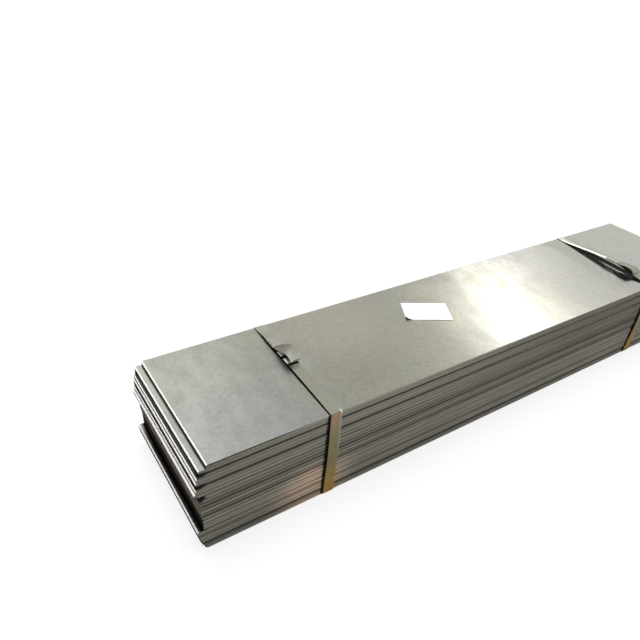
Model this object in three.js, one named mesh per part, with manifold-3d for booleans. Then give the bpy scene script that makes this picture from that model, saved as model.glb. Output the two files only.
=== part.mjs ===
// A strapped pack of long, narrow steel plates: the plates lie flat on each other with their ends
// slightly staggered, two steel straps with crimped seals hold them, and a blank paper label lies on top.
// Millimetres. X runs along the plates, Y across them (front is -Y), Z is up.
import * as THREE from 'three';
import { mergeVertices } from 'three/addons/utils/BufferGeometryUtils.js';
import Module from 'manifold-3d';

const wasm = await Module();
wasm.setup();

// Plates
const plateLength = 2000;
const plateWidth = 400;
const plateThickness = 11;
const plateEdgeBreak = 0.8;
// Gap between two plates that lie tight, and between two that a slight bend keeps apart.
const tightSeam = 0.45;
const openSeam = 0.95;
const openSeamsBelow = [2, 5, 11, 14, 22];
// How far each plate's left end stands out past the top plate's, from the top plate down.
const endStagger = [0, 18.5, 19.5, 23.5, 25.5, 25.5, 27, 30.5, 12, 19.5, 18, 17, 18, 16, 14.5, 14, 13.5, 13,
  28.5, 26.5, 23.5, 20.5, 16, 10];
// How far each plate sits back from the front line, from the top plate down.
const sideStagger = [0, 0.7, -0.4, 0.5, 1.1, -0.6, 0.2, 0.9, -0.9, 0.3, -0.2, 0.8, -0.7, 0.4, 1.0, -0.5, 0.1, 0.6,
  -0.8, 0.2, 0.7, -0.3, 0.9, 0.1];

// Straps
const strapWidth = 32;
const strapThickness = 1;
const strapCornerRadius = 3;
const strapSkew = 0.018;
const strapSag = 3;
const seatGap = 0.35;
const layerGap = 0.3;
const strapEndBehindSeal = 14;
const layerRamp = 22;
const tailSteps = 30;

// Seals
const sealLength = 40;
const sealThickness = 1;
const sealFlange = 11;
const sealClearance = 0.3;
const crimpDepth = 3.2;
const crimpLength = 5;
const crimpsPerSide = 2;

// The tight strap on the left and the slack one on the right, each set in from its own end of the pack.
// rise is how far the strap stands off the top plate at its seal, and bowPower how straight it climbs
// there: near 1 it bulges, higher it hugs the plate first. tails hold the free end's course past the
// seal along its left and right edge, as distance forward and height gained.
const leftStrap = {
  name: 'left',
  inset: 317,
  sealCentre: 306,
  rise: 4,
  bowPower: 0.9,
  tails: [
    [[0, 0], [9, 1], [20, 4], [36, 9.5], [55, 17], [70, 21.5], [80, 20.5], [87, 17], [91, 13.5]],
    [[0, 0], [7, 4], [19, 14], [38, 24.5], [53, 27.5], [64, 24], [76, 17], [84, 10.5], [82, 3.5]],
  ],
};
const rightStrap = {
  name: 'right',
  inset: 324,
  sealCentre: 162,
  rise: 17,
  bowPower: 1.5,
  tails: [
    [[0, 0], [16, 2], [36, 5], [54, 4], [66, -3], [69, -9]],
    [[0, 0], [16, 2], [36, 6], [56, 6], [70, 0], [74, -6]],
  ],
};

// Label
const labelLength = 147;
const labelWidth = 87;
const labelThickness = 0.4;
const labelFromLeftEnd = 827;
const labelFromFront = 245;
const labelTurn = THREE.MathUtils.degToRad(-27.5);
const labelCurlReach = 28;
const labelCurlRadius = 32;
const labelCells = [26, 16];

// Surface looks
const steel = { color: 0xa9aaa4, metalness: 0.75, roughness: 0.42 };
const strapSteel = { color: 0x84745a, metalness: 0.55, roughness: 0.5 };
const sealSteel = { color: 0x8c8272, metalness: 0.6, roughness: 0.45 };
const paper = { color: 0xf4f4f2, metalness: 0, roughness: 0.85 };

const plateCount = endStagger.length;
const seamBelow = (number) => (openSeamsBelow.includes(number) ? openSeam : tightSeam);
// Height from the top plate's upper face down to the upper face of a plate, by its number from the top.
function depthOf(number) {
  let depth = 0;
  for (let above = 1; above < number; above += 1) depth += plateThickness + seamBelow(above);
  return depth;
}
const stackBottom = strapThickness + seatGap;
const stackTop = stackBottom + depthOf(plateCount) + plateThickness;
const strapFront = Math.min(...sideStagger) - seatGap - strapThickness / 2;
const strapBack = plateWidth + Math.max(...sideStagger) + seatGap + strapThickness / 2;
const onTop = stackTop + seatGap + strapThickness / 2;
const sealLift = sealThickness + sealClearance;
const layerPitch = strapThickness + layerGap;

function named(name, geometry, look) {
  const mesh = new THREE.Mesh(geometry, new THREE.MeshStandardMaterial(look));
  mesh.name = name;
  return mesh;
}

function closed(geometry) {
  geometry.deleteAttribute('normal');
  geometry.deleteAttribute('uv');
  return mergeVertices(geometry, 1e-4);
}

// ---- Plates ----

function plateGeometry() {
  const outline = new THREE.Shape([
    new THREE.Vector2(0, 0),
    new THREE.Vector2(plateLength, 0),
    new THREE.Vector2(plateLength, plateWidth),
    new THREE.Vector2(0, plateWidth),
  ]);
  const slab = new THREE.ExtrudeGeometry(outline, {
    depth: plateThickness - 2 * plateEdgeBreak,
    bevelThickness: plateEdgeBreak,
    bevelSize: plateEdgeBreak,
    bevelOffset: -plateEdgeBreak,
    bevelSegments: 2,
  });
  slab.translate(0, 0, plateEdgeBreak - plateThickness);
  return closed(slab);
}

function plate(number) {
  const mesh = named(`plate_${String(number).padStart(2, '0')}`, plateGeometry(), steel);
  mesh.position.set(-endStagger[number - 1], sideStagger[number - 1], stackTop - depthOf(number));
  return mesh;
}

// ---- Straps ----

// Share of the rise at a depth across the top: none at the long edges, all of it along the seal.
function bowShare(y, strap) {
  const level = sealLength / 2 + 2;
  const ahead = y / (strap.sealCentre - level);
  const behind = (plateWidth - y) / (plateWidth - strap.sealCentre - level);
  return Math.sin((Math.PI / 2) * THREE.MathUtils.clamp(Math.min(ahead, behind), 0, 1) ** strap.bowPower);
}

// Height of the lower strap layer's middle at a depth across the top.
function lowerHeight(y, strap) {
  const fromSeal = Math.abs(y - strap.sealCentre) - sealLength / 2;
  const nearSeal = 1 - THREE.MathUtils.smoothstep(fromSeal, 2, layerRamp);
  return onTop + strap.rise * bowShare(y, strap) + sealLift * nearSeal;
}

// The upper layer clears the lower layer's end behind the seal.
function upperHeight(y, strap) {
  const endBehind = strap.sealCentre + sealLength / 2 + strapEndBehindSeal;
  const overlap = 1 - THREE.MathUtils.smoothstep(y, endBehind + 2, endBehind + 2 + layerRamp);
  return lowerHeight(y, strap) + layerPitch * overlap;
}

// Points along the top between two depths, at heights given by a function.
function topRun(fromY, toY, steps, height) {
  return Array.from({ length: steps + 1 }, (_, step) => {
    const y = THREE.MathUtils.lerp(fromY, toY, step / steps);
    return new THREE.Vector2(y, height(y));
  });
}

// The two rounded corners and the slightly slack run between them, down one side of the pack.
function sideRun(sideY, outward, downward) {
  const cornerY = sideY - outward * strapCornerRadius;
  const topCentre = onTop - strapCornerRadius;
  const lowCentre = strapThickness / 2 + strapCornerRadius;
  const corner = (centreZ, from, to) => {
    const arc = new THREE.EllipseCurve(cornerY, centreZ, strapCornerRadius, strapCornerRadius, from, to, to < from);
    return arc.getPoints(6);
  };
  const away = outward > 0 ? 0 : Math.PI;
  const topArc = corner(topCentre, Math.PI / 2, away);
  const lowArc = corner(lowCentre, outward > 0 ? 0 : -Math.PI, -Math.PI / 2);
  const slack = Array.from({ length: 11 }, (_, step) => {
    const share = (step + 1) / 12;
    const z = THREE.MathUtils.lerp(topCentre, lowCentre, share);
    return new THREE.Vector2(sideY + outward * strapSag * Math.sin(Math.PI * share) ** 2, z);
  });
  const run = [...topArc, ...slack, ...lowArc];
  return downward ? run : run.reverse();
}

// The strap's middle line: from its covered end under the seal, over the front edge, down, under the
// pack, up the back, over the lower layer, through the seal and out along the free tail, whose course
// is one of its two edges'.
function strapCourse(strap, tailKnots) {
  const sealFront = strap.sealCentre - sealLength / 2;
  const sealBack = strap.sealCentre + sealLength / 2;
  const nearFront = strapFront + strapCornerRadius;
  const nearBack = strapBack - strapCornerRadius;
  const lower = topRun(sealBack + strapEndBehindSeal, nearFront + 4, 44, (y) => lowerHeight(y, strap));
  const front = sideRun(strapFront, -1, true);
  const back = sideRun(strapBack, 1, false);
  const upper = topRun(nearBack - 4, sealFront, 34, (y) => upperHeight(y, strap));
  const exit = upper.pop();
  const tail = new THREE.SplineCurve(tailKnots.map(([forward, up]) => (
    new THREE.Vector2(exit.x - forward, exit.y + up)))).getPoints(tailSteps);
  return [...lower, ...front, ...back, ...upper, ...tail];
}

// The outer and inner line of a ribbon of the strap's thickness around a middle line.
function ribbonLines(course) {
  const line = (offset) => course.map((point, index) => {
    const before = course[Math.max(index - 1, 0)];
    const after = course[Math.min(index + 1, course.length - 1)];
    const along = after.clone().sub(before).normalize();
    return new THREE.Vector2(point.x - along.y * offset, point.y + along.x * offset);
  });
  return [line(strapThickness / 2), line(-strapThickness / 2)];
}

// Joins the strap's left and right edge lines, drawn in Y and Z, into one solid leaned by its skew.
function strapGeometry(strap, leftEdge) {
  const edges = strap.tails.map((knots) => ribbonLines(strapCourse(strap, knots)));
  const corners = [[0, 0], [0, 1], [1, 1], [1, 0]];
  const stations = edges[0][0].length;
  const points = [];
  for (let station = 0; station < stations; station += 1) {
    for (const [edge, line] of corners) {
      const { x: y, y: z } = edges[edge][line][station];
      points.push(leftEdge + edge * strapWidth + strapSkew * y, y, z);
    }
  }
  const triangles = [];
  const quad = (a, b, c, d) => triangles.push(a, b, c, a, c, d);
  for (let station = 0; station < stations - 1; station += 1) {
    const here = station * 4;
    for (let corner = 0; corner < 4; corner += 1) {
      const next = (corner + 1) % 4;
      quad(here + corner, here + 4 + corner, here + 4 + next, here + next);
    }
  }
  const last = (stations - 1) * 4;
  quad(0, 1, 2, 3);
  quad(last + 3, last + 2, last + 1, last);
  const band = new THREE.BufferGeometry();
  band.setAttribute('position', new THREE.Float32BufferAttribute(points, 3));
  band.setIndex(triangles);
  return closed(band);
}

// ---- Seals ----

function solid(geometry) {
  const merged = closed(geometry);
  return new wasm.Manifold(new wasm.Mesh({
    numProp: 3,
    vertProperties: new Float32Array(merged.attributes.position.array),
    triVerts: new Uint32Array(merged.index.array),
  }));
}

function fromSolid(body) {
  const mesh = body.getMesh();
  const geometry = new THREE.BufferGeometry();
  geometry.setAttribute('position', new THREE.BufferAttribute(new Float32Array(mesh.vertProperties), 3));
  geometry.setIndex(new THREE.BufferAttribute(new Uint32Array(mesh.triVerts), 1));
  return geometry;
}

// The folded sleeve's section: a top, two rounded sides and two flanges turned in under the strap.
function sealSection() {
  const inner = strapWidth / 2 + sealClearance;
  const outer = inner + sealThickness;
  const slit = outer - sealFlange;
  const flangeTop = sealThickness;
  const roof = flangeTop + 2 * sealClearance + layerPitch + strapThickness;
  const top = roof + sealThickness;
  const corner = sealThickness;
  const half = [[slit, 0], [outer - corner, 0], [outer - 0.3 * corner, 0.3 * corner], [outer, corner],
    [outer, top - corner], [outer - 0.3 * corner, top - 0.3 * corner], [outer - corner, top]];
  const inside = [[inner, roof], [inner, flangeTop], [slit, flangeTop]];
  const mirrored = (points) => points.map(([x, z]) => [-x, z]).reverse();
  const outline = [...half, ...mirrored(half), ...mirrored(inside), ...inside];
  return new THREE.Shape(outline.map(([x, z]) => new THREE.Vector2(x, z)));
}

// A wedge that cuts one crimp notch into a side of the seal.
function crimpWedge(outward, y, height) {
  const edge = outward * (strapWidth / 2 + sealClearance + sealThickness);
  const outline = new THREE.Shape([
    new THREE.Vector2(edge - outward * crimpDepth, y),
    new THREE.Vector2(edge + outward, y - outward * crimpLength * 0.6),
    new THREE.Vector2(edge + outward, y + outward * crimpLength * 0.6),
  ]);
  return new THREE.ExtrudeGeometry(outline, { depth: height, bevelEnabled: false }).translate(0, 0, -1);
}

function sealGeometry(strap, leftEdge) {
  const sleeve = new THREE.ExtrudeGeometry(sealSection(), { depth: sealLength, bevelEnabled: false });
  sleeve.rotateX(Math.PI / 2).translate(0, sealLength / 2, 0);
  let body = solid(sleeve);
  const cutHeight = 2 * sealThickness + 2 * sealClearance + layerPitch + strapThickness + 2;
  for (let crimp = 1; crimp <= crimpsPerSide; crimp += 1) {
    const y = sealLength * (crimp / (crimpsPerSide + 1) - 0.5);
    for (const outward of [-1, 1]) body = body.subtract(solid(crimpWedge(outward, y, cutHeight)));
  }
  const underLayer = onTop + strap.rise + sealLift - strapThickness / 2;
  const place = new THREE.Matrix4().set(
    1, strapSkew, 0, leftEdge + strapWidth / 2 + strapSkew * strap.sealCentre,
    0, 1, 0, strap.sealCentre,
    0, 0, 1, underLayer - sealClearance - sealThickness,
    0, 0, 0, 1,
  );
  return fromSolid(body).applyMatrix4(place);
}

// ---- Label ----

// A point of the label's sheet, with its near left corner rolled up.
function labelPoint(across, along, height) {
  const foldDirection = new THREE.Vector2(1, 1).normalize();
  const flat = new THREE.Vector2(across, along);
  const inCurl = labelCurlReach - flat.dot(foldDirection);
  if (inCurl <= 0) return new THREE.Vector3(flat.x, flat.y, height);
  const angle = inCurl / labelCurlRadius;
  const radius = labelCurlRadius - height;
  const shift = inCurl - radius * Math.sin(angle);
  return new THREE.Vector3(
    flat.x + foldDirection.x * shift,
    flat.y + foldDirection.y * shift,
    labelCurlRadius - radius * Math.cos(angle),
  );
}

function labelGeometry() {
  const [columns, rows] = labelCells;
  const sheet = new THREE.BoxGeometry(labelLength, labelWidth, labelThickness, columns, rows, 1);
  const position = sheet.attributes.position;
  for (let index = 0; index < position.count; index += 1) {
    const point = labelPoint(
      position.getX(index) + labelLength / 2,
      position.getY(index) + labelWidth / 2,
      position.getZ(index) + labelThickness / 2,
    );
    position.setXYZ(index, point.x - labelLength / 2, point.y - labelWidth / 2, point.z);
  }
  return closed(sheet);
}

function label() {
  const mesh = named('label', labelGeometry(), paper);
  mesh.position.set(labelFromLeftEnd, labelFromFront, stackTop + seatGap);
  mesh.rotation.z = labelTurn;
  return mesh;
}

// ---- Pack ----

const pack = new THREE.Group();
for (let number = 1; number <= plateCount; number += 1) pack.add(plate(number));
const strapPlaces = [[leftStrap, leftStrap.inset], [rightStrap, plateLength - rightStrap.inset - strapWidth]];
for (const [strap, leftEdge] of strapPlaces) {
  pack.add(named(`strap_${strap.name}`, strapGeometry(strap, leftEdge), strapSteel));
  pack.add(named(`seal_${strap.name}`, sealGeometry(strap, leftEdge), sealSteel));
}
pack.add(label());

// The origin is the middle of the pack's footprint, at the floor.
const bounds = new THREE.Box3().setFromObject(pack, true);
const middle = bounds.getCenter(new THREE.Vector3());
pack.position.set(-middle.x, -middle.y, -bounds.min.z);
const steelPlatePack = new THREE.Group();
steelPlatePack.add(pack);

export default steelPlatePack;
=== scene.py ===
"""A strapped pack of steel plates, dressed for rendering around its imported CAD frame. Metres, Z up."""

import math

import bmesh
import bpy
from mathutils import Matrix, Quaternion, Vector, noise


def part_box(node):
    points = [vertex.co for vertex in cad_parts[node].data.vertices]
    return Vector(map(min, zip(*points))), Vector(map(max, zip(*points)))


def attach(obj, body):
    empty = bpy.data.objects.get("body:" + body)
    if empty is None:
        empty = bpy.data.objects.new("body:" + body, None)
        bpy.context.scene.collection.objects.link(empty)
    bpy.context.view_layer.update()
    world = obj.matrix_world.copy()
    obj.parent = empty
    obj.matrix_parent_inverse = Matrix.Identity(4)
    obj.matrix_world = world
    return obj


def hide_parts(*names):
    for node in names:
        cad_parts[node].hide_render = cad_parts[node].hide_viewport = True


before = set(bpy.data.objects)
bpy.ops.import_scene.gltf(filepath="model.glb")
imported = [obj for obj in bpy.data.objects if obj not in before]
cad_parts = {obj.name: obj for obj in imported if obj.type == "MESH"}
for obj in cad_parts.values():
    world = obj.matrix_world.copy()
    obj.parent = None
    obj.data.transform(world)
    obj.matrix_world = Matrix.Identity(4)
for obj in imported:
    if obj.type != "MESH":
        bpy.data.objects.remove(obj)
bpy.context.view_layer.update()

MM = 0.001
PLATES = sorted(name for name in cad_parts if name.startswith("plate_"))
# How far the straps lean along X for each step along Y.
STRAP_SKEW = 0.018


def add_object(name, data):
    made = bpy.data.objects.new(name, data)
    bpy.context.scene.collection.objects.link(made)
    return made


def add_mesh(name, points, faces):
    mesh = bpy.data.meshes.new(name)
    mesh.from_pydata(points, [], faces)
    mesh.update()
    return mesh


# ---- Camera ----

CAMERA_PLACE = (-1.31296, -1.01691, 1.24527)
CAMERA_TURN = (0.850936, 0.440518, -0.163751, -0.234601)
SENSOR_WIDTH = 36.0
PICTURE_WIDTH = 640
FOCAL_LENGTH_IN_PIXELS = 595.37


def make_camera():
    data = bpy.data.cameras.new("camera")
    data.sensor_width = SENSOR_WIDTH
    data.lens = SENSOR_WIDTH * FOCAL_LENGTH_IN_PIXELS / PICTURE_WIDTH
    data.clip_start = 0.01
    data.clip_end = 100
    camera = add_object("camera", data)
    camera.location = CAMERA_PLACE
    camera.rotation_mode = "QUATERNION"
    camera.rotation_quaternion = Quaternion(CAMERA_TURN)
    bpy.context.scene.camera = camera


# ---- Node helpers ----


class Nodes:
    """Adds and links nodes in one tree. A socket given as an input is linked, anything else is set."""

    def __init__(self, tree):
        self.tree = tree

    def add(self, kind, settings=None, **inputs):
        """A new node. Input names have _ for a space, and i0, i1 and so on name an input by its place."""
        node = self.tree.nodes.new("ShaderNode" + kind)
        for key, value in (settings or {}).items():
            setattr(node, key, value)
        for key, value in inputs.items():
            self.feed(node, key.replace("_", " "), value)
        return node

    def feed(self, node, key, value):
        by_place = key[0] == "i" and key[1:].isdigit()
        socket = node.inputs[int(key[1:])] if by_place else node.inputs[key]
        if isinstance(value, bpy.types.NodeSocket):
            self.tree.links.new(value, socket)
        else:
            socket.default_value = value

    def math(self, operation, first, second=0.0):
        return self.add("Math", {"operation": operation}, i0=first, i1=second).outputs[0]

    def times(self, first, second):
        return self.math("MULTIPLY", first, second)

    def less(self, first, second):
        return self.math("SUBTRACT", first, second)

    def vector(self, operation, first, second, output="Vector"):
        return self.add("VectorMath", {"operation": operation}, i0=first, i1=second).outputs[output]

    def dot(self, first, second):
        return self.vector("DOT_PRODUCT", first, second, "Value")

    def distance(self, first, second):
        return self.vector("DISTANCE", first, second, "Value")

    def axes(self, place):
        return self.add("SeparateXYZ", Vector=place).outputs

    def ramp(self, value, low, high, to_low=0.0, to_high=1.0):
        """value carried from low..high to to_low..to_high, smoothly."""
        ends = {"From_Min": low, "From_Max": high, "To_Min": to_low, "To_Max": to_high}
        node = self.add("MapRange", {"interpolation_type": "SMOOTHSTEP"}, Value=value, **ends)
        return node.outputs["Result"]

    def mix(self, share, first, second, blend="MIX"):
        node = self.add("Mix", {"data_type": "RGBA", "blend_type": blend})
        self.feed(node, "i0", share)
        for key, value in (("i6", first), ("i7", second)):
            self.feed(node, key, value if isinstance(value, bpy.types.NodeSocket) else (*value, 1.0))
        return node.outputs[2]

    def tint(self, color, factor):
        """color times a factor for each channel."""
        return self.mix(1.0, color, factor, "MULTIPLY")

    def spots(self, place, color, spots):
        """color with spots over it: each one's place, reach, full reach, share and colour."""
        for middle, reach, full, share, spot_color in spots:
            near = self.ramp(self.distance(place, middle), reach, full, 0.0, share)
            color = self.mix(near, color, spot_color)
        return color

    def noise(self, place, scale, stretch=(1, 1, 1), detail=3.0, rough=0.5, offset=(0, 0, 0)):
        """Noise between 0 and 1, with scale in cells per metre."""
        cells = tuple(scale * s for s in stretch)
        moved = self.add("Mapping", Vector=place, Scale=cells, Location=offset)
        made = self.add("TexNoise", Vector=moved.outputs[0], Scale=1.0, Detail=detail, Roughness=rough)
        return made.outputs["Fac"]

    def attribute(self, name):
        return self.add("Attribute", {"attribute_name": name}).outputs["Fac"]

    def gloss(self, color, metal, rough, **inputs):
        return self.add("BsdfPrincipled", Base_Color=color, Metallic=metal, Roughness=rough, **inputs)

    def bumped(self, shader, strength, distance, height):
        bump = self.add("Bump", Strength=strength, Distance=distance, Height=height)
        self.feed(shader, "Normal", bump.outputs[0])

    def show(self, shader, kind="Material"):
        self.feed(self.add("Output" + kind), "Surface", shader.outputs[0])


def cleared(block):
    """The helper for the emptied node tree of a material or world."""
    block.use_nodes = True
    block.node_tree.nodes.clear()
    return Nodes(block.node_tree)


def new_material(name):
    """A material, the helper for its nodes, and the place that its patterns follow."""
    material = bpy.data.materials.new(name)
    n = cleared(material)
    return material, n, n.add("TexCoord").outputs["Object"]


# ---- Materials ----

# About the height of the pack's top.
TOP_HEIGHT = 0.278
BLACK = (0.0, 0.0, 0.0)
WHITE = (1.0, 1.0, 1.0)
STRAP_SHADOW = (0.006, 0.006, 0.005)
DEEP_GRIME_AND_SHADE = (0.003, 0.003, 0.002)
GRIME_AND_SHADE = (0.02, 0.018, 0.015)
SHADE = (0.05, 0.045, 0.04)
# Painted shade that dims the window's glare near the back edge.
GLARE_SHADE = (0.17, 0.165, 0.145)
# Specular level of what is painted black as shadow, so that it shows almost no glare.
SHADOW_SPECULAR = 0.06

# The faces are wiped smoother beside the slack strap: place along the pack, reach, full reach, how much.
WIPED = (0.653, 0.14, 0.02, 0.20)
# Where the tight strap's free end has scoured the plate rougher, with a paler sheen painted there: place,
# reach, full reach.
SCOURED_AND_SHEEN = ((-0.677, 0.02, TOP_HEIGHT), 0.12, 0.02)
# Tints along the top: where each starts and where it is full along X, and its factors.
CASTS = ((0.05, -0.2, (1.0, 0.995, 0.93)), (0.2, 0.4, (0.98, 0.985, 1.03)))
# Painted light on the top: a cool and pale sheen at the left end, painted shade twice near the back edge
# that dims the window's glare, a pale sheen where the plate is scoured, a painted highlight in front of
# the window's glare, and a sandy sheen right of the tight strap.
PAINTED_TOP_LIGHT = (
    ((-0.88, -0.16, 0.27), 0.36, 0.08, 0.6, (0.425, 0.437, 0.455)),
    ((-0.95, 0.22, TOP_HEIGHT), 0.48, 0.06, 0.6, (0.56, 0.555, 0.49)),
    ((0.05, 0.23, TOP_HEIGHT), 0.19, 0.0475, 0.42, GLARE_SHADE),
    ((0.35, 0.21, TOP_HEIGHT), 0.15, 0.0375, 0.36, GLARE_SHADE),
    (*SCOURED_AND_SHEEN, 0.55, (0.72, 0.71, 0.66)),
    ((0.08, -0.2, TOP_HEIGHT), 0.34, 0.1, 0.6, (0.64, 0.63, 0.56)),
    ((-0.47, 0.15, TOP_HEIGHT), 0.27, 0.05, 0.8, (0.60, 0.56, 0.455)),
)
# Where a ledge's painted shade starts and where it ends, in mm from the plate's end.
LEDGE_START, LEDGE_END = (3.5, 15.0), (28.0, 24.0)
# A painted warm glow low on the front, left of the tight strap: its middle, with heights stretched by
# WARM_GLOW_LOW.
WARM_GLOW, WARM_GLOW_LOW = (-0.698, 0.0, 0.070), 1.3
# The straps' left edges on the long sides, beside which their shadow is painted.
STRAP_SIDES = (-0.6678, 0.6592)
# The straps' left edges on the top plate, which is painted black under them as their shadow, and whether
# that shadow spreads.
STRAP_TOPS = ((-0.6641, 1.0), (0.6629, 0.0))
# How far out the painted shadow spreads, at the back and nearer the front, and where it starts and ends
# across.
SHADOW_SPREAD = (0.0015, 0.0046)
SHADOW_START, SHADOW_END = (0.0005, 0.0014), (0.0315, 0.030)
# The straps' painted shadow on the long sides: how far out from the strap's left edge it fades, and from
# there to behind it.
SIDE_SHADOW_OUT = (0.0095, 0.0055)
SIDE_SHADOW_BEHIND = (-0.02, -0.001)


def toned(n, color):
    """color times each plate's own tone."""
    tone = n.attribute("tone")
    return n.tint(color, n.add("CombineColor", Red=tone, Green=tone, Blue=tone).outputs[0])


def mill_color(n, place, x):
    """Grey with a faint olive cast, clouded, mottled and specked, with spots of painted sheen, shade and
    highlight.
    """
    drift = n.noise(place, 3.2, detail=2.0)
    color = n.mix(n.ramp(drift, 0.35, 0.65), (0.445, 0.437, 0.385), (0.46, 0.447, 0.36))
    for start, full, factor in CASTS:
        color = n.mix(n.ramp(x, start, full), color, n.tint(color, factor))
    cloud = n.noise(place, 18, stretch=(0.6, 1, 1), detail=5.0, rough=0.6)
    color = n.mix(n.ramp(cloud, 0.35, 0.65, 0.0, 0.14), color, (0.30, 0.29, 0.27))
    color = n.spots(place, color, PAINTED_TOP_LIGHT)
    hue = n.noise(place, 26, detail=3.0, rough=0.6, offset=(7, 3, 0))
    for full, hue_color in ((0.72, (0.47, 0.43, 0.41)), (0.28, (0.41, 0.45, 0.38))):
        color = n.mix(n.ramp(hue, 0.50, full, 0.0, 0.35), color, hue_color)
    mottle = n.noise(place, 110, detail=4.0, rough=0.7)
    darker, lighter = n.mix(0.12, color, BLACK), n.mix(0.07, color, WHITE)
    color = n.mix(n.ramp(mottle, 0.25, 0.75), darker, lighter)
    speck = n.noise(place, 150, detail=1.0, offset=(0, 9, 0))
    color = n.mix(n.ramp(speck, 0.78, 0.82, 0.0, 0.6), color, (0.9, 0.9, 0.88))
    return toned(n, color)


def mill_roughness(n, place, x):
    """Clouded, rougher where the free end has scoured the plate, and smoother where it is wiped."""
    wiped = n.noise(place, 14, stretch=(1.2, 0.6, 1), detail=4.0, rough=0.6)
    rough = n.ramp(wiped, 0.3, 0.7, 0.34, 0.42)
    middle, reach, full = SCOURED_AND_SHEEN
    rough = n.math("ADD", rough, n.ramp(n.distance(place, middle), reach, full, 0.0, 0.16))
    strap_x, reach, full, polish = WIPED
    beside = n.math("ABSOLUTE", n.less(x, strap_x))
    return n.less(rough, n.ramp(beside, reach, full, 0.0, polish))


def out_of_strap_shadow(n, x, y):
    """1 on the open face, and 0 where the top plate is painted black as a strap's shadow, under it and a
    little way out.
    """
    skewed = n.times(y, STRAP_SKEW)
    spread = n.ramp(y, 0.15, 0.09, *SHADOW_SPREAD)
    unshadowed = 1.0
    for strap_x, spreads in STRAP_TOPS:
        inward = n.less(n.less(x, strap_x), skewed)
        from_left = n.math("ADD", inward, n.times(spread, spreads))
        shadowed = n.times(n.ramp(from_left, *SHADOW_START), n.ramp(inward, *SHADOW_END))
        unshadowed = n.less(unshadowed, shadowed)
    return unshadowed


def end_glint_and_shade(n, x):
    """Painted highlight on the faces near the ends, and painted black shade on the left end's ledges."""
    rim = n.attribute("rim")
    from_end = n.math("DIVIDE", rim, n.attribute("reach"))
    rubbed = n.times(n.ramp(from_end, 1.4, 0.7), n.attribute("rubbed"))
    ledge = n.times(n.ramp(rim, *LEDGE_START), n.ramp(rim, *LEDGE_END))
    shaded = n.times(n.times(ledge, at_left(n, x)), n.attribute("shaded"))
    return rubbed, shaded


def at_left(n, x):
    return n.ramp(x, 0.1, -0.1)


def mill_material():
    """The rolled faces: satin grey, with a painted highlight where the cut ends' edges catch the light,
    and painted shadow under the straps.
    """
    material, n, place = new_material("plate_mill_face")
    x, y, _ = n.axes(place)
    unshadowed = out_of_strap_shadow(n, x, y)
    rubbed, shaded = end_glint_and_shade(n, x)
    # Painted shade: the left ledges of the shaded plates go black.
    color = n.mix(shaded, mill_color(n, place, x), (0.008, 0.008, 0.006))
    # Painted highlight where the cut ends' edges catch the light.
    color = n.mix(rubbed, color, (0.99, 0.99, 0.97))
    # Under the straps' painted shadow the face is black, rough and not metal.
    metal = n.times(n.less(1.0, n.times(rubbed, 0.95)), unshadowed)
    in_shadow = n.less(0.5, n.times(unshadowed, 0.5))
    rough = n.math("ADD", mill_roughness(n, place, x), in_shadow)
    tangent = n.add("Tangent", {"direction_type": "UV_MAP", "uv_map": "grain"})
    shader = n.gloss(
        n.mix(unshadowed, STRAP_SHADOW, color), metal, rough, Specular_IOR_Level=SHADOW_SPECULAR,
        Anisotropic=0.86, Tangent=tangent.outputs[0])
    n.bumped(shader, 1.0, 0.0012, n.noise(place, 7, detail=2.0, offset=(0, 4, 0)))
    n.show(shader)
    return material


def side_material():
    """The sheared long edges: streaked, duller than the faces, dark in the open seams."""
    material, n, place = new_material("plate_cut_side")
    x, y, z = n.axes(place)
    streak = n.noise(place, 420, stretch=(0.02, 1, 1), detail=3.0)
    color = n.mix(n.ramp(streak, 0.3, 0.7), (0.37, 0.37, 0.32), (0.53, 0.52, 0.455))
    patch = n.noise(place, 7, stretch=(0.8, 1, 3.0), detail=3.0, offset=(3.1, 0, 0))
    color = n.mix(n.ramp(patch, 0.52, 0.72, 0.0, 0.30), color, (0.50, 0.38, 0.30))
    torn = n.ramp(n.attribute("level"), 0.6, 0.45, 0.0, 0.16)
    color = n.mix(torn, color, (0.20, 0.19, 0.165))
    # Painted warm glow low on the front, left of the tight strap.
    stretched = n.vector("MULTIPLY", place, (1.0, 0.0, WARM_GLOW_LOW))
    warm_glow = n.ramp(n.distance(stretched, WARM_GLOW), 0.15, 0.03, 0.0, 0.88)
    in_front = n.ramp(y, 0.05, -0.05)
    color = toned(n, n.mix(n.times(warm_glow, in_front), color, (1.0, 0.77, 0.60)))
    far_end = n.times(n.ramp(x, -0.45, 0.55, 0.0, 0.42), n.ramp(z, 0.03, 0.2))
    near_end = n.times(n.ramp(x, -0.99, -0.72, 0.26, 0.0), n.ramp(z, 0.20, 0.27, 0.4, 1.0))
    for dimmed in (far_end, near_end):
        color = n.mix(dimmed, color, SHADE)
    # A painted dark line of shade along the top plate's front edge towards the left end.
    front_edge_shade = n.times(n.ramp(z, 0.2738, 0.2752), n.ramp(x, -0.70, -0.84))
    color = n.mix(n.times(front_edge_shade, 0.9), color, GRIME_AND_SHADE)
    # The straps' shadow, painted beside their left edges on the long sides.
    for strap_x in STRAP_SIDES:
        gap = n.less(strap_x, x)
        shadow_share = n.times(n.ramp(gap, *SIDE_SHADOW_OUT), n.ramp(gap, *SIDE_SHADOW_BEHIND))
        color = n.mix(n.times(shadow_share, 0.97), color, STRAP_SHADOW)
    # Grime in the open seams, and painted shade in the notches under the overhanging plates.
    color = n.mix(n.attribute("dirt_and_shade"), color, GRIME_AND_SHADE)
    shader = n.gloss(color, 0.55, n.ramp(streak, 0.3, 0.7, 0.48, 0.62))
    n.bumped(shader, 0.2, 0.0003, streak)
    n.show(shader)
    return material


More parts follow.
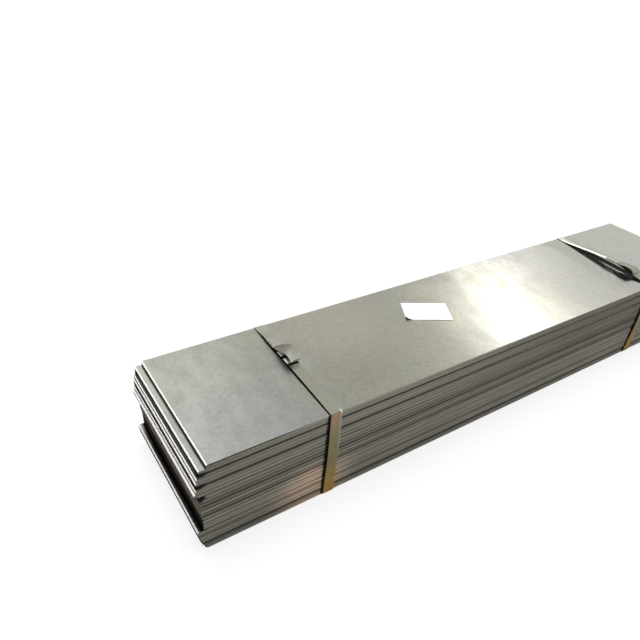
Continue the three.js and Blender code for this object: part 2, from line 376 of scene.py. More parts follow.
def end_material():
    """The cut ends: brown-black scale. On the left end the recessed plates take a lighter copy as painted
    light, and low down it is painted black as shade.
    """
    material, n, place = new_material("plate_cut_end")
    x, y, z = n.axes(place)
    scale = n.noise(place, 55, stretch=(1, 0.4, 1), detail=4.0)
    patchy = n.ramp(scale, 0.35, 0.65)
    brown = n.mix(patchy, (0.075, 0.058, 0.048), (0.14, 0.11, 0.092))
    # Painted light: a lighter copy of the scale for the left end's recessed plates, greyer towards the
    # front.
    lit_recess = n.mix(patchy, (0.14, 0.102, 0.095), (0.235, 0.175, 0.162))
    lit_recess = n.mix(n.ramp(y, -0.13, -0.18, 0.0, 0.8), lit_recess, (0.19, 0.185, 0.15))
    left = at_left(n, x)
    color = n.mix(n.times(left, n.ramp(z, 0.190, 0.185)), brown, lit_recess)
    # Painted shade: black low on the left end and on the shaded plates' ends.
    for shade_share in (n.ramp(z, 0.118, 0.098), n.attribute("shaded")):
        color = n.mix(n.times(left, shade_share), color, DEEP_GRIME_AND_SHADE)
    streak = n.noise(place, 300, stretch=(1, 0.03, 1), detail=2.0)
    color = n.mix(n.ramp(streak, 0.5, 0.8, 0.0, 0.3), color, (0.12, 0.10, 0.085))
    # Black where the seams are most open, and painted shade in the notches.
    color = n.mix(n.ramp(n.attribute("dirt_and_shade"), 0.7, 1.0), color, DEEP_GRIME_AND_SHADE)
    rough = n.ramp(scale, 0.3, 0.7, 0.7, 0.85)
    n.show(n.gloss(color, 0.0, rough, Specular_IOR_Level=0.08))
    return material


def strap_color(n, place, blotch, streak, loose):
    """Khaki grey on top, browner down the sides with a painted warm glow turning them golden near the
    floor, and a paler painted sheen along the free end.
    """
    _, y, z = n.axes(place)
    normal = n.add("NewGeometry").outputs["Normal"]
    upward = n.ramp(n.math("ABSOLUTE", n.dot(normal, (0, 0, 1))), 0.55, 0.9)
    # Painted warm glow: the sides turn golden near the floor.
    side = n.mix(n.ramp(z, 0.03, 0.13), (0.88, 0.57, 0.145), (0.42, 0.375, 0.225))
    side = n.mix(n.ramp(z, 0.19, 0.275), side, (0.63, 0.445, 0.31))
    above = n.mix(n.ramp(y, 0.10, 0.19), (0.355, 0.357, 0.29), (0.47, 0.465, 0.39))
    color = n.mix(n.math("MAXIMUM", upward, n.ramp(z, 0.277, 0.280)), side, above)
    color = n.mix(n.ramp(streak, 0.3, 0.7, 0.0, 0.22), color, (0.30, 0.25, 0.18))
    color = n.mix(n.ramp(blotch, 0.5, 0.75, 0.0, 0.25), color, (0.24, 0.19, 0.13))
    color = n.mix(n.ramp(loose, 0.62, 0.85, 0.0, 0.6), color, (0.245, 0.205, 0.175))
    # Painted sheen: the free end grows paler towards its tip.
    tail_sheen = n.times(n.ramp(loose, 0.66, 0.48, 0.0, 0.6), n.ramp(loose, 0.0, 0.2))
    color = n.mix(tail_sheen, color, (0.66, 0.65, 0.59))
    # Painted shade on the strap's edges.
    return n.mix(n.attribute("edge"), color, (0.03, 0.026, 0.02))


def strap_material():
    """Waxed strapping, with painted highlights along some margins, and painted black as shade on its under
    face and under the free end.
    """
    material, n, place = new_material("strap_steel")
    streak = n.noise(place, 260, stretch=(1, 0.03, 0.03), detail=3.0)
    blotch = n.noise(place, 35, detail=4.0)
    loose, rubbed = n.attribute("loose"), n.attribute("rubbed")
    # Painted shade: the under face and the stretches under the free end go black.
    under_shade = n.math("GREATER_THAN", n.attribute("under_shade"), 0.5)
    color = n.mix(under_shade, strap_color(n, place, blotch, streak, loose), (0.006, 0.005, 0.005))
    # Painted highlight along the margins that catch the light.
    color = n.mix(rubbed, color, (0.97, 0.97, 0.96))
    metal = n.times(n.less(1.0, under_shade), n.less(0.8, n.times(rubbed, 0.72)))
    dull = n.ramp(loose, 0.0, 0.3, 0.0, 0.14)
    rough = n.math("ADD", n.ramp(blotch, 0.3, 0.7, 0.30, 0.40), dull)
    shader = n.gloss(color, metal, rough, Specular_IOR_Level=SHADOW_SPECULAR)
    n.bumped(shader, 0.15, 0.0002, streak)
    n.show(shader)
    return material


def seal_material():
    """Pressed steel seals: beige grey, satin, a little scuffed."""
    material, n, place = new_material("seal_steel")
    blotch = n.noise(place, 60, detail=3.0)
    color = n.mix(n.ramp(blotch, 0.3, 0.7), (0.39, 0.385, 0.335), (0.43, 0.42, 0.37))
    scuff = n.noise(place, 500, stretch=(1, 0.15, 1), detail=3.0)
    color = n.mix(n.ramp(scuff, 0.55, 0.8, 0.0, 0.2), color, (0.7, 0.68, 0.64))
    n.show(n.gloss(color, 0.9, n.ramp(blotch, 0.3, 0.7, 0.30, 0.36)))
    return material


def paper_material():
    material, n, place = new_material("label_paper")
    cloud = n.noise(place, 25, detail=2.0)
    color = n.mix(n.ramp(cloud, 0.3, 0.7), (0.90, 0.90, 0.90), (0.97, 0.97, 0.965))
    shader = n.gloss(color, 0.0, 0.8)
    n.bumped(shader, 0.1, 0.0001, n.noise(place, 900, detail=5.0))
    n.show(shader)
    return material


# ---- Plates ----

# Which of a plate's materials a face takes.
MILL_FACE, CUT_SIDE, CUT_END = range(3)

# How open the seam under each plate looks, from 0 to 1. Above 1, grime spreads over both plates.
SEAMS = [0.25, 1.0, 0.4, 0.25, 1.15, 0.3, 0.55, 0.2, 0.6, 0.5, 1.2, 0.2,
         0.6, 1.0, 0.25, 0.6, 0.2, 0.5, 0.5, 0.2, 0.15, 1.7, 0.3, 0.0]
# Plates whose sheared sides are lighter or duller than the rest, counted from the top, and by how much.
PALE_SIDES, PALER = {1, 2, 4, 7, 8, 15, 16, 17, 18, 19, 21, 22}, 0.14
DULL_SIDES, DULLER = {11, 14, 20}, 0.28
# How bright a painted highlight each plate's end edges take, how far down the end face and how far in on
# top, in mm.
GLINTS = {1: (1.0, 2.4, 2.6), 2: (1.0, 2.6, 2.6), 4: (0.9, 2.8, 2.6), 5: (1.0, 4.8, 3.2),
          6: (0.0, 3.5, 2.6), 7: (1.0, 3.2, 3.2), 8: (1.0, 6.2, 5.0), 19: (1.0, 2.4, 3.4)}
PLAIN_END = (0.25, 3.5, 2.6)
# Plates whose left ends are painted black as shade, and their ledges too, a little way in.
SHADED = {6, 19}
# Plates that stand out over the one below, with painted shade in the corner under them: up to which share
# of their own thickness, from which share of the plate below, and how far along the pack and back, in mm.
NOTCHED = {2: (0.35, 0.4, 12.0, 12.0), 5: (0.35, 0.4, 12.0, 12.0),
           8: (0.5, -1.0, 5.0, 25.0), 9: (0.9, 0.35, 5.0, 25.0)}
NO_NOTCH = (-1.0, 2.0, 0.0, 0.0)
# How far the corners are knocked in, in mm.
KNOCKED = {21: 1.0, 22: 1.6, 23: 2.2, 24: 2.8}
PLAIN_CORNER = 0.3

# The rounded top edge along the long sides and along the ends: inset and drop in mm.
LONG_ROLL = [(0.5, 0.0), (0.24, 0.07), (0.08, 0.24), (0.0, 0.55)]
END_ROLL = [(2.3, 0.0), (1.3, 0.14), (0.5, 0.5), (0.0, 1.25)]
# Side and end below the rounded top edge: inset in mm and share of the thickness.
BODY_PROFILE = [(0.0, 0.62), (0.14, 0.55), (0.28, 0.30)]
# The end face's rows below its rubbed edge lie no higher than this share of the thickness.
END_ROWS_TOP = 0.45
# What a fully open seam adds to the rounding under it, as a factor.
OPEN_ROLL = 2.2
# The lower edge's inset from the sides and its rise, in mm, and what an open seam adds to each.
BURR, OPEN_BURR = 0.25, 1.1
RISE, OPEN_RISE = 0.4, 1.0
# How dirty the rounding is at least, and how dirty its foot and the lower edge are at a fully open seam.
ROLL_DIRT, FOOT_DIRT, BURR_DIRT = 0.35, 0.6, 0.7

# The rolling grain's direction, off the pack's length.
GRAIN_TURN = math.radians(-12)
# The first grid lines in from each edge, and about the step between the others, in mm.
GRID_LINES = (4.5, 11.0, 24.0)
GRID_STEP = 40.0
# The faces' slight waves: half their depth in mm, and their lengths along and across the pack.
BOW, BOW_WAVES = 0.10, (420.0, 300.0)
# The cut edges' slight waves: half their depth and their length in mm.
CUT_WOBBLE, CUT_WAVE = 0.12, 60.0
# How far apart in the noise the waves of one plate and the next lie, and those of one ring and the next.
BOW_STEP, CUT_STEP, RING_STEP = 3.7, 5.3, 0.4
# How much the plates' tones swing, in steps of this angle from plate to plate, and where they start.
TONE_SWING, TONE_STEP, TONE_START = 0.04, 2.4, 0.7


def graded(length):
    """Grid lines in mm between the ends of a length, close together near both ends."""
    free = length - 2 * GRID_LINES[-1]
    count = max(1, round(free / GRID_STEP))
    middle = [GRID_LINES[-1] + free * k / count for k in range(count + 1)]
    near = GRID_LINES[:-1]
    return [0.0, *near, *middle, *(length - line for line in reversed(near)), length]


def border(nx, ny):
    """Grid indices round the rim of an nx by ny grid of points, counter-clockwise."""
    loop = [(i, 0) for i in range(nx - 1)]
    loop += [(nx - 1, j) for j in range(ny - 1)]
    loop += [(i, ny - 1) for i in range(nx - 1, 0, -1)]
    loop += [(0, j) for j in range(ny - 1, 0, -1)]
    return loop


class PlateMesh:
    """One plate as a closed grid mesh inside its CAD node's box, in mm from the box's lowest corner."""

    def __init__(self, number, node):
        self.number = number
        self.low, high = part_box(node)
        self.size = (high - self.low) / MM
        self.xs, self.ys = graded(self.size.x), graded(self.size.y)
        self.nx, self.ny = len(self.xs), len(self.ys)
        self.loop = border(self.nx, self.ny)
        self.points, self.levels, self.rims, self.dirt_and_shade = [], [], [], []
        self.faces, self.looks = [], []
        self.rubbed, self.rub_depth, self.glint_reach = GLINTS.get(number, PLAIN_END)
        above = SEAMS[number - 2] if number > 1 else 0.0
        below = SEAMS[number - 1]
        self.above, self.below = min(1.0, above), min(1.0, below)
        self.grime_above, self.grime_below = above - self.above, below - self.below
        self.roll = 1 + OPEN_ROLL * self.above

    def put(self, x, y, z, dirt_and_shade=0.0):
        """Adds a point. The waves only lower the upper face and raise the lower one."""
        wave = noise.noise(Vector((x / BOW_WAVES[0], y / BOW_WAVES[1], self.number * BOW_STEP)))
        level = z / self.size.z
        dip = BOW * (wave - 1.0) * level + BOW * (wave + 1.0) * (1.0 - level)
        self.points.append(self.low + Vector((x, y, z + dip)) * MM)
        self.levels.append(level)
        self.rims.append(min(x, self.size.x - x))
        self.dirt_and_shade.append(dirt_and_shade)
        return len(self.points) - 1

    def spot(self, i, j, end_inset, long_inset, ring):
        """Place of a grid point pulled in from the ends and long sides, with a slightly uneven cut."""
        x, y = self.xs[i], self.ys[j]
        seed = self.number * CUT_STEP + ring * RING_STEP
        wobble = CUT_WOBBLE * (1 + noise.noise(Vector((x / CUT_WAVE, y / CUT_WAVE, seed))))
        corner = 0.0
        if i in (0, self.nx - 1) and j in (0, self.ny - 1):
            corner = KNOCKED.get(self.number, PLAIN_CORNER)
        if i == 0:
            x = end_inset + wobble + corner
        if i == self.nx - 1:
            x = self.size.x - end_inset - wobble - corner
        if j == 0:
            y = long_inset + wobble + corner
        if j == self.ny - 1:
            y = self.size.y - long_inset - wobble - corner
        return x, y

    def sheet(self, end_inset, long_inset, z):
        grid = {}
        for i in range(self.nx):
            for j in range(self.ny):
                x, y = self.spot(i, j, end_inset, long_inset, 0)
                grid[i, j] = self.put(x, y, z)
        return grid

    def ring(self, end_inset, end_z, long_inset, long_z, order, dirt_and_shade=0.0):
        """A loop of points round the plate. Ends and long sides may have their own inset and height."""
        made = []
        for i, j in self.loop:
            x, y = self.spot(i, j, end_inset, long_inset, order)
            z = end_z if i in (0, self.nx - 1) else long_z
            made.append(self.put(x, y, z, dirt_and_shade))
        return made

    def join(self, upper, lower, order):
        """Faces between two rings. An end with a painted highlight takes the mill face's material down to
        the highlight's depth.
        """
        end_look = MILL_FACE if order < len(END_ROLL) and self.rubbed > 0.5 else CUT_END
        count = len(self.loop)
        for k in range(count):
            after = (k + 1) % count
            column, next_column = self.loop[k][0], self.loop[after][0]
            on_end = column == next_column and column in (0, self.nx - 1)
            self.faces.append((upper[after], upper[k], lower[k], lower[after]))
            self.looks.append(end_look if on_end else CUT_SIDE)

    def build(self):
        height = self.size.z
        top = self.sheet(END_ROLL[0][0], LONG_ROLL[0][0] * self.roll, height)
        burr = BURR + OPEN_BURR * self.below
        rings = [[top[key] for key in self.loop]]
        self.add_rolled_rings(rings, height)
        self.add_body_rings(rings, height)
        bottom = self.sheet(burr, burr, 0.0)
        rings.append([bottom[key] for key in self.loop])
        for i in range(self.nx - 1):
            for j in range(self.ny - 1):
                self.faces.append((top[i, j], top[i + 1, j], top[i + 1, j + 1], top[i, j + 1]))
                self.faces.append((bottom[i, j], bottom[i, j + 1], bottom[i + 1, j + 1], bottom[i + 1, j]))
                self.looks += [MILL_FACE, MILL_FACE]
        for order, (upper, lower) in enumerate(zip(rings, rings[1:])):
            self.join(upper, lower, order)

    def add_rolled_rings(self, rings, height):
        for (end_inset, end_drop), (long_inset, long_drop) in zip(END_ROLL[1:], LONG_ROLL[1:]):
            dirt_and_shade = max(ROLL_DIRT, self.above) if long_inset > 0 else FOOT_DIRT * self.above
            end_z, long_z = height - end_drop, height - long_drop * self.roll
            rings.append(self.ring(end_inset, end_z, long_inset * self.roll, long_z, len(rings), dirt_and_shade))

    def add_body_rings(self, rings, height):
        for inset, share in BODY_PROFILE:
            end_z = height - self.rub_depth if inset == 0 else height * min(share, END_ROWS_TOP)
            grime = self.grime_above if share > 0.5 else self.grime_below
            rings.append(self.ring(inset, end_z, inset, height * share, len(rings), grime))
        inset = BODY_PROFILE[-1][0]
        rise = RISE + OPEN_RISE * self.below
        rings.append(self.ring(inset, rise, inset, rise, len(rings), self.below * BURR_DIRT))

    def shade_notches(self):
        """Paints shade black into the corners under this plate's overhang, and into those on this one
        under the plate above.
        """
        up_to, _, own_reach, _ = NOTCHED.get(self.number, NO_NOTCH)
        _, down_to, along, back = NOTCHED.get(self.number - 1, NO_NOTCH)
        for k, (point, level) in enumerate(zip(self.points, self.levels)):
            x, y, _ = (point - self.low) / MM
            from_side = min(y, self.size.y - y)
            under = level < up_to and max(x, from_side) < own_reach
            over = level > down_to and x < along and from_side < back
            if under or over:
                self.dirt_and_shade[k] = 1.0

    def tone(self):
        """How light this plate is, slightly different from one plate to the next."""
        tone = 1.0 + TONE_SWING * math.sin(self.number * TONE_STEP + TONE_START)
        return tone + (PALER * (self.number in PALE_SIDES) - DULLER * (self.number in DULL_SIDES))

    def mesh(self, name):
        made = add_mesh(name, self.points, self.faces)
        self.shade_notches()
        set_attribute(made, "level", self.levels)
        set_attribute(made, "rim", self.rims)
        set_attribute(made, "dirt_and_shade", self.dirt_and_shade)
        shaded = float(self.number in SHADED)
        whole = {"tone": self.tone(), "rubbed": self.rubbed, "reach": self.glint_reach, "shaded": shaded}
        for attribute, value in whole.items():
            set_attribute(made, attribute, [value] * len(self.points))
        self.lay_grain(made)
        return made

    def lay_grain(self, mesh):
        """A UV map that gives the anisotropic gloss its direction: GRAIN_TURN on the faces."""
        grain = mesh.uv_layers.new(name="grain")
        sine, cosine = math.sin(GRAIN_TURN), math.cos(GRAIN_TURN)
        for polygon in mesh.polygons:
            on_face = abs(polygon.normal.z) > 0.6
            for corner in polygon.loop_indices:
                p = self.points[mesh.loops[corner].vertex_index]
                flat = (p.x * sine + p.y * cosine, p.y * sine - p.x * cosine)
                grain.data[corner].uv = flat if on_face else (p.z, p.x + p.y)


def build_plate(number, node, looks):
    plate = PlateMesh(number, node)
    plate.build()
    name = f"sheet_{number:02d}"
    mesh = plate.mesh(name)
    for look in looks:
        mesh.materials.append(look)
    mesh.polygons.foreach_set("material_index", plate.looks)
    finish_piece(name, mesh, node, sharp_angle=50)


def set_attribute(mesh, name, values):
    made = mesh.attributes.new(name, "FLOAT", "POINT")
    made.data.foreach_set("value", values)


def finish_piece(name, mesh, node, sharp_angle):
    """Makes the mesh a piece that rides on the pack and stands for its CAD node."""
    mesh.shade_smooth()
    mesh.set_sharp_from_angle(angle=math.radians(sharp_angle))
    piece = add_object(name, mesh)
    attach(piece, "root")
    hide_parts(node)


# ---- Straps ----

# Sizes in mm.
STRAP_WIDTH = 32.0
HALF_WIDTH = STRAP_WIDTH / 2
STRAP_THICKNESS = 1.0
HALF_THICKNESS = STRAP_THICKNESS / 2
STRAP_SAG = 3.0
CORNER_RADIUS = 3.0
# Steps round a corner, down a side, along each layer, under the pack and between the tail's knots.
CORNER_STEPS, SIDE_STEPS = 8, 30
LOWER_STEPS, UPPER_STEPS, UNDER_STEPS, TAIL_STEPS = 90, 80, 8, 9
# Points nearer than this to the last one are dropped, and longer steps are divided.
NEAR_DOUBLE, LONGEST_STEP = 0.15, 4.0
SEAT_GAP = 0.35
LAYER_PITCH = 1.3
LAYER_RAMP = 22.0
END_BEHIND_SEAL = 14.0
SEAL_LENGTH = 40.0
SEAL_LIFT = 1.3
# How far a layer stays level past the seal's ends before it ramps.
LEVEL_PAST_SEAL = 2
# How far in from the corners the top and bottom runs start.
RUN_MARGIN = 4
PLATE_WIDTH = 400.0

# The free ends' courses past the seal, along each edge: distance forward and height gained.
LEFT_TAILS = (
    [(0, 0), (9, 1), (20, 4), (36, 9.5), (55, 17), (70, 21.5), (80, 20.5), (87, 17), (91, 13.5)],
    [(0, 0), (7, 4), (19, 14), (38, 24.5), (53, 27.5), (64, 24), (76, 17), (84, 10.5), (82, 3.5)],
)
RIGHT_TAILS = (
    [(0, 0), (16, 2), (36, 5), (54, 4), (66, -3), (69, -9)],
    [(0, 0), (16, 2), (36, 6), (56, 6), (70, 0), (74, -6)],
)
# Stretches of painted highlight on the straps' left margins: from and to along Y, and how far in across.
LEFT_GLINTS = ((208.0, 236.0, -7.0), (243.0, 268.0, -6.5))
RIGHT_GLINTS = ((186.0, 388.0, -3.0),)
# How gradually a stretch of painted highlight starts and ends, and how gradually it stops across.
GLINT_FADE, GLINT_MARGIN = 6, 5.0
# The painted highlight on the right margin down the front side: where the margin starts across, how far it
# goes back and up over the top, from full to none off the pack's top corner, and its climb up the side to
# a share.
MARGIN_START, GLINT_BACK, GLINT_UP = 15.0, 12.0, 0.6
GLINT_CORNER, GLINT_SIDE, GLINT_SIDE_SHARE = (4.0, 9.0), (110.0, 190.0), 0.5
# How dark the painted shade on the strap's left and right edges is, and how much the loose mark falls
# along the free tail.
LEFT_EDGE_SHADE, RIGHT_EDGE_SHADE = 0.95, 0.5
LOOSE_FALL = 0.7
# Where the crown starts and is full, from the seal's ends and from the pack's edges.
CROWN_FROM_SEAL, CROWN_FROM_EDGE = (0, 40), (5, 60)
# Stretches where the lower layer is painted black as the shadow under the free end.
LEFT_TAIL_SHADOW = (202.0, 286.0)
RIGHT_TAIL_SHADOW = (75.0, 142.0)

# The strap's section: place across from the middle, and height above the middle line, in mm.
FLAT_PLACES = (-15.8, -11.0, -5.5, 0.0, 5.5, 11.0, 15.8)
EDGE_HEIGHT = 0.28
SECTION = [
    (-HALF_WIDTH, -EDGE_HEIGHT),
    *((across, -HALF_THICKNESS) for across in FLAT_PLACES),
    (HALF_WIDTH, -EDGE_HEIGHT),
    (HALF_WIDTH, EDGE_HEIGHT),
    *((across, HALF_THICKNESS) for across in reversed(FLAT_PLACES)),
    (-HALF_WIDTH, EDGE_HEIGHT),
]


class Strap:
    """One strap, in mm in the pack's frame, whose origin is the top plate's front left corner.

    rise and bow_power give the height and fullness of its bow off the top plate. crown and tilt bend its
    section in mm where it stands free of the plates.
    """

    def __init__(self, side, seal_centre, rise, bow_power, crown, tilt, tails, rubbed, tail_shadow):
        self.side, self.seal_centre = side, seal_centre
        self.rise, self.bow_power = rise, bow_power
        self.crown, self.tilt = crown, tilt
        self.rubbed, self.tail_shadow = rubbed, tail_shadow
        low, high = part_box(f"strap_{side}")
        top_low, top_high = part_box("plate_01")
        self.front = (low.y - top_low.y) / MM + STRAP_SAG + HALF_THICKNESS
        self.back = (high.y - top_low.y) / MM - STRAP_SAG - HALF_THICKNESS
        self.left = (low.x - top_low.x) / MM - STRAP_SKEW * (self.front - STRAP_SAG)
        self.origin = Vector((top_low.x, top_low.y, 0.0))
        self.on_top = top_high.z / MM + SEAT_GAP + HALF_THICKNESS
        held, seal_exit = self.held_course()
        self.tail_start = len(held)
        self.courses = {}
        for across, _ in SECTION:
            share = (across + HALF_WIDTH) / STRAP_WIDTH
            self.courses[across] = [*held, *tail_course(seal_exit, tails, share)]
        self.stations = len(self.courses[0.0])

    def bow_share(self, y):
        level = SEAL_LENGTH / 2 + LEVEL_PAST_SEAL
        from_front = y / (self.seal_centre - level)
        from_back = (PLATE_WIDTH - y) / (PLATE_WIDTH - self.seal_centre - level)
        return math.sin(math.pi / 2 * clamp(min(from_front, from_back)) ** self.bow_power)

    def lower_height(self, y):
        from_seal = abs(y - self.seal_centre) - SEAL_LENGTH / 2
        near = 1 - smooth(from_seal, LEVEL_PAST_SEAL, LAYER_RAMP)
        return self.on_top + self.rise * self.bow_share(y) + SEAL_LIFT * near

    def upper_height(self, y):
        ramp_start = self.seal_centre + SEAL_LENGTH / 2 + END_BEHIND_SEAL + LEVEL_PAST_SEAL
        overlap = 1 - smooth(y, ramp_start, ramp_start + LAYER_RAMP)
        return self.lower_height(y) + LAYER_PITCH * overlap

    def side_run(self, side_y, outward):
        """Down one side of the pack: a rounded corner, a slightly slack run, a rounded corner."""
        centre_y = side_y - outward * CORNER_RADIUS
        top, low = self.on_top - CORNER_RADIUS, HALF_THICKNESS + CORNER_RADIUS
        run = []
        for step in range(CORNER_STEPS + 1):
            turn = math.pi / 2 * (1 - step / CORNER_STEPS)
            run.append(corner_point(centre_y, outward, top, turn))
        for step in range(1, SIDE_STEPS):
            share = step / SIDE_STEPS
            slack = STRAP_SAG * math.sin(math.pi * share) ** 2
            run.append((side_y + outward * slack, top + (low - top) * share))
        for step in range(CORNER_STEPS + 1):
            turn = -math.pi / 2 * step / CORNER_STEPS
            run.append(corner_point(centre_y, outward, low, turn))
        return run

    def held_course(self):
        """The middle line from the covered end round the pack and into the seal, and its exit point."""
        seal_front = self.seal_centre - SEAL_LENGTH / 2
        seal_back = self.seal_centre + SEAL_LENGTH / 2
        first = self.front + CORNER_RADIUS + RUN_MARGIN
        last = self.back - CORNER_RADIUS - RUN_MARGIN
        *upper, seal_exit = run_between(last, seal_front, UPPER_STEPS, self.upper_height)
        course = [
            *run_between(seal_back + END_BEHIND_SEAL, first, LOWER_STEPS, self.lower_height),
            *self.side_run(self.front, -1),
            *run_between(first, last, UNDER_STEPS, lambda y: HALF_THICKNESS),
            *reversed(self.side_run(self.back, 1)),
            *upper,
        ]
        return resampled(course), seal_exit

    def point(self, k, across, lift):
        """One point of the section at station k, in metres."""
        course = self.courses[across]
        (y0, z0), (y1, z1) = course[max(k - 1, 0)], course[min(k + 1, self.stations - 1)]
        y, z = course[k]
        along = Vector((0, y1 - y0, z1 - z0)).normalized()
        outward = Vector((0, along.z, -along.y))
        if k < self.tail_start:
            aside = across / HALF_WIDTH
            lift -= self.crown_share(y, z) * (self.crown * aside ** 2 + self.tilt * aside)
        x = self.left + HALF_WIDTH + across + STRAP_SKEW * y
        return self.origin + (Vector((x, y, z)) + outward * lift) * MM

    def marks(self, k, across, lift):
        """A point's values for the material: painted shade on the edges and under face, painted shadow
        under the free end, painted highlight, free tail.
        """
        y, z = self.courses[across][k]
        glinted = self.margin_glint(across, y, z)
        on_tail = k >= self.tail_start
        on_top = z > self.on_top and not on_tail
        edges = {-HALF_WIDTH: LEFT_EDGE_SHADE, HALF_WIDTH: RIGHT_EDGE_SHADE * (1 - glinted)}
        under_shade = lift == -HALF_THICKNESS or (on_top and self.tail_shadow[0] < y < self.tail_shadow[1])
        rubbed = max(glinted, self.glint_share(across, y) if on_top else 0.0)
        past, length = k - self.tail_start, self.stations - self.tail_start
        loose = 1.0 - LOOSE_FALL * past / length if on_tail else 0.0
        return {"edge": edges.get(across, 0.0), "under_shade": float(under_shade), "rubbed": rubbed, "loose": loose}

    def glint_share(self, across, y):
        """How bright the painted highlight is at a place across and along the strap."""
        share = 0.0
        for start, end, reach in self.rubbed:
            along = smooth(y, start, start + GLINT_FADE) * (1 - smooth(y, end - GLINT_FADE, end))
            share = max(share, along * (1 - smooth(across, reach - GLINT_MARGIN, reach)))
        return share

    def margin_glint(self, across, y, z):
        """How bright the painted highlight is on the right margin down the front side, most of all at the
        pack's top corner.
        """
        if across < MARGIN_START or y > GLINT_BACK or z >= self.on_top + GLINT_UP:
            return 0.0
        near_corner = 1 - smooth(math.hypot(y - self.front, z - self.on_top), *GLINT_CORNER)
        return max(near_corner, GLINT_SIDE_SHARE * smooth(z, *GLINT_SIDE))

    def crown_share(self, y, z):
        """The strap is crowned and tilted only where it stands free of the plates, never in the seal."""
        if z < self.on_top - STRAP_THICKNESS:
            return 0.0
        from_seal = abs(y - self.seal_centre) - SEAL_LENGTH / 2
        return smooth(from_seal, *CROWN_FROM_SEAL) * smooth(min(y, PLATE_WIDTH - y), *CROWN_FROM_EDGE)


def clamp(value):
    return max(0.0, min(1.0, value))


def smooth(value, low, high):
    share = clamp((value - low) / (high - low))
    return share * share * (3 - 2 * share)


def corner_point(centre_y, outward, centre_z, turn):
    """A point of a rounded corner, at an angle up from outward."""
    return centre_y + outward * CORNER_RADIUS * math.cos(turn), centre_z + CORNER_RADIUS * math.sin(turn)


def run_between(start, end, steps, height):
    ys = [start + (end - start) * step / steps for step in range(steps + 1)]
    return [(y, height(y)) for y in ys]


def tail_course(seal_exit, tails, share):
    """The free tail past the seal's exit, with share 0 along its left edge and 1 along the right one."""
    exit_y, exit_z = seal_exit
    knots = []
    for (left_run, left_rise), (right_run, right_rise) in zip(*tails):
        run = left_run + (right_run - left_run) * share
        knots.append((exit_y - run, exit_z + left_rise + (right_rise - left_rise) * share))
    return spline(knots, TAIL_STEPS)[1:]


def spline(knots, steps):
    """A smooth curve through knots."""
    made = []
    for k in range(len(knots) - 1):
        before, after = knots[max(k - 1, 0)], knots[min(k + 2, len(knots) - 1)]
        corners = list(zip(before, knots[k], knots[k + 1], after))
        made += [tuple(between(*values, step / steps) for values in corners) for step in range(steps)]
    return [*made, knots[-1]]


def between(a, b, c, d, t):
    """The Catmull-Rom curve's value at t on the way from b to c."""
    square = (2 * a - 5 * b + 4 * c - d) * t * t
    cube = (3 * b - a - 3 * c + d) * t ** 3
    return 0.5 * (2 * b + (c - a) * t + square + cube)


def resampled(course):
    """The course without near doubles, and with long steps divided."""
    made = [course[0]]
    for y, z in course[1:]:
        last_y, last_z = made[-1]
        gap = math.hypot(y - last_y, z - last_z)
        if gap < NEAR_DOUBLE:
            continue
        pieces = max(1, math.ceil(gap / LONGEST_STEP))
        for k in range(1, pieces + 1):
            made.append((last_y + (y - last_y) * k / pieces, last_z + (z - last_z) * k / pieces))
    return made


def strap_mesh(strap, name):
    points, marks, faces = [], [], []
    for k in range(strap.stations):
        for across, lift in SECTION:
            points.append(strap.point(k, across, lift))
            marks.append(strap.marks(k, across, lift))
    count = len(SECTION)
    for start in range(0, len(points) - count, count):
        for m in range(count):
            after = (m + 1) % count
            faces.append((start + m, start + after, start + count + after, start + count + m))
    faces.append(tuple(reversed(range(count))))
    faces.append(tuple(range(len(points) - count, len(points))))
    mesh = add_mesh(name, points, faces)
    for mark in marks[0]:
        set_attribute(mesh, mark, [values[mark] for values in marks])
    return mesh


def build_straps(look):
    left = Strap(
        "left", seal_centre=306.0, rise=4.0, bow_power=0.9, crown=0.2, tilt=1.0,
        tails=LEFT_TAILS, rubbed=LEFT_GLINTS, tail_shadow=LEFT_TAIL_SHADOW)
    right = Strap(
        "right", seal_centre=162.0, rise=17.0, bow_power=1.5, crown=0.8, tilt=0.6,
        tails=RIGHT_TAILS, rubbed=RIGHT_GLINTS, tail_shadow=RIGHT_TAIL_SHADOW)
    for strap in (left, right):
        name = f"band_{strap.side}"
        mesh = strap_mesh(strap, name)
        fix_normals(mesh)
        mesh.materials.append(look)
        finish_piece(name, mesh, f"strap_{strap.side}", sharp_angle=35)


def fix_normals(mesh):
    made = bmesh.new()
    made.from_mesh(mesh)
    bmesh.ops.recalc_face_normals(made, faces=made.faces)
    made.to_mesh(mesh)
    made.free()
    mesh.update()


# ---- Seals ----

SEAL_BEVEL = 0.22 * MM


def dress_seals(look):
    """The CAD seals, with their sharp edges eased and a pressed steel finish."""
    for side in ("left", "right"):
        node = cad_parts[f"seal_{side}"]
        node.data.materials.clear()
        node.data.materials.append(look)
        bevel = node.modifiers.new("eased", "BEVEL")
        bevel.width = SEAL_BEVEL
        bevel.segments = 2
        bevel.limit_method = "ANGLE"
        bevel.angle_limit = math.radians(40)


# ---- Label ----

# Sizes in mm. The place is the middle's, from the top plate's front left corner.
LABEL_LENGTH, LABEL_WIDTH = 143.0, 90.5
LABEL_PLACE = (828.4, 239.6)
LABEL_TURN = math.radians(-27.8)
LABEL_THICKNESS = 0.3
# The sheet's slight waves: half their depth, their lengths, and how far from the curl they are full.
LABEL_WAVE, LABEL_WAVES, LABEL_WAVE_FULL = 0.35, (45.0, 40.0), 60
CURL_REACH, CURL_RADIUS = 18.0, 21.0
LABEL_COLUMNS, LABEL_ROWS = 74, 44


